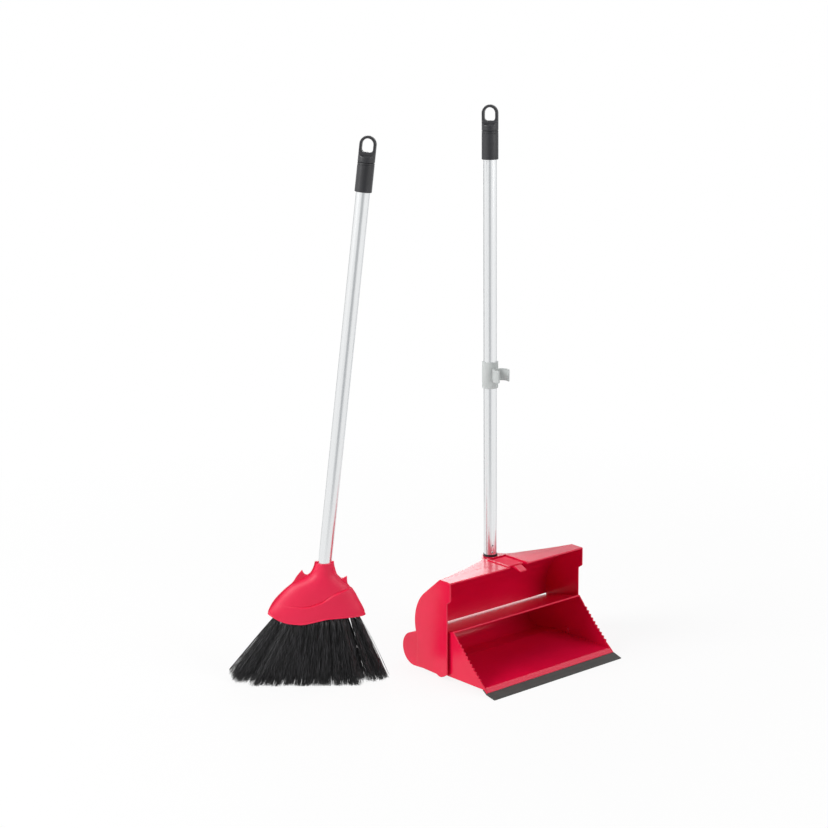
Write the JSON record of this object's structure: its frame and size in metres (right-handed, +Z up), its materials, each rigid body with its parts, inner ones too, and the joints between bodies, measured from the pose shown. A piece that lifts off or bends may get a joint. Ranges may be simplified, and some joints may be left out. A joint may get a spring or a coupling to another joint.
{
  "type": "lobby dustpan and broom",
  "caption": "Hooded dust pan that swings under an upright aluminium pole, with a sliding broom clip, and a separate angled lobby broom.",
  "frame": {"origin": "floor point under the centre of the whole set's box", "axes": "+Z up the pan's pole, +Y from the pan's mouth to its bin, +X along the pan's hinge to the right"},
  "size_m": [0.5483, 0.3512, 0.915],
  "materials": {
    "hood_plastic": "gloss moulded polypropylene",
    "pan_plastic": "gloss moulded polypropylene",
    "broom_plastic": "gloss moulded polypropylene",
    "lip_rubber": "extruded dark grey rubber",
    "pole_aluminium": "drawn tube with a pale satin finish",
    "rivet_aluminium": "plain blind rivet",
    "grip_plastic": "satin charcoal moulding",
    "black_plastic": "black moulding",
    "clip_plastic": "light grey moulding",
    "steel": "zinc plated",
    "bristle": "black synthetic filament"
  },
  "bodies": {
    "hood": {"hood_shell": "hood_plastic", "latch_pin": "steel", "tube_insert": "black_plastic", "insert_screw": "steel", "tube_rivet_low": "rivet_aluminium", "tube_rivet_high": "rivet_aluminium", "pan_tube": "pole_aluminium", "pan_grip_sleeve": "grip_plastic"},
    "pan": {"pan_scoop": "pan_plastic", "lip_rubber": "lip_rubber", "hinge_pin_left": "pan_plastic", "hinge_pin_right": "pan_plastic"},
    "latch": {"latch_lever": "hood_plastic"},
    "clip": {"broom_clip": "clip_plastic"},
    "pan_eye": {"pan_hanging_eye": "grip_plastic"},
    "broom": {"brush_block": "broom_plastic", "front_cover": "broom_plastic", "rear_cover": "broom_plastic", "cover_screw_left": "steel", "cover_screw_right": "steel", "tufts_row_1": "bristle", "tufts_row_2": "bristle", "tufts_row_3": "bristle", "tufts_row_4": "bristle", "broom_tube": "pole_aluminium", "broom_grip_sleeve": "grip_plastic"},
    "broom_eye": {"broom_hanging_eye": "grip_plastic"}
  },
  "joints": [
    {"name": "pan_swing", "type": "hinge", "parent": "hood", "child": "pan", "pos_m": [0.127, -0.0485, 0.016], "axis": [-1, 0, 0], "range_deg": [0, 84]},
    {"name": "latch_press", "type": "hinge", "parent": "hood", "child": "latch", "pos_m": [0.127, -0.02975, 0.16], "axis": [-1, 0, 0], "range_deg": [0, 12], "stiffness_Nm_per_rad": 0.05, "springref_deg": -17.19},
    {"name": "clip_slide", "type": "slide", "parent": "hood", "child": "clip", "axis": [0, 0, 1], "range_m": [-0.26, 0.3]},
    {"name": "pan_eye_swivel", "type": "hinge", "parent": "hood", "child": "pan_eye", "pos_m": [0.127, -0.0061, 0.88], "axis": [0, 0, 1], "continuous": true},
    {"name": "broom_lift", "type": "slide", "parent": "hood", "child": "broom", "axis": [0, 0, 1], "range_m": [0, 0.3]},
    {"name": "broom_eye_swivel", "type": "hinge", "parent": "broom", "child": "broom_eye", "pos_m": [-0.09556, 0.02791, 0.83589], "axis": [0.0927, -0.0751, 0.9929], "continuous": true}
  ]
}
